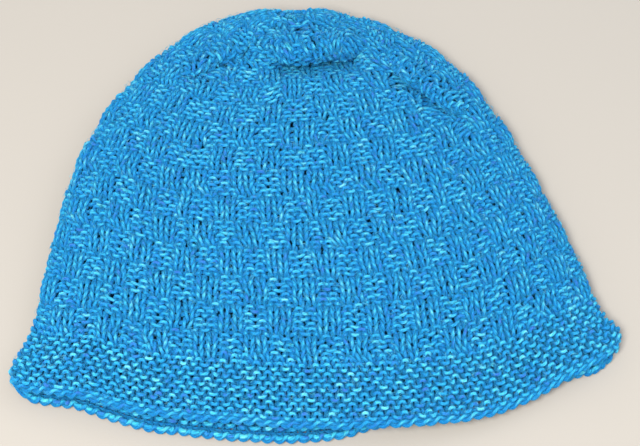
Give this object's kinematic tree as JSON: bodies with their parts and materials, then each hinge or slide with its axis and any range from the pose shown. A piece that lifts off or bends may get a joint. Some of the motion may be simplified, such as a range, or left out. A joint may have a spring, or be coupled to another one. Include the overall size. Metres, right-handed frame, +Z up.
{
  "type": "knitted hat",
  "caption": "Hand-knitted cloche-style hat in mottled blue-green wool, lying flat, with a garter-stitch brim, basket-knit body and drawn-in crown.",
  "frame": {"origin": "on the surface that the hat lies on, under the middle of the body", "axes": "+X across the hat from the left fold to the right fold, +Y from the mouth to the tip, +Z up out of the surface"},
  "size_m": [0.2422, 0.2006, 0.0317],
  "materials": {
    "brim_wool": "hand-dyed worsted wool in garter stitch, mottled turquoise, azure and deep blue",
    "body_wool": "hand-dyed worsted wool in small knit and purl blocks, mottled turquoise, azure and deep blue",
    "crown_wool": "hand-dyed worsted wool, decreased to a drawn-in tip, mottled turquoise, azure and deep blue"
  },
  "bodies": {
    "root": {"brim_band": "brim_wool", "body": "body_wool", "crown": "crown_wool"}
  },
  "joints": []
}
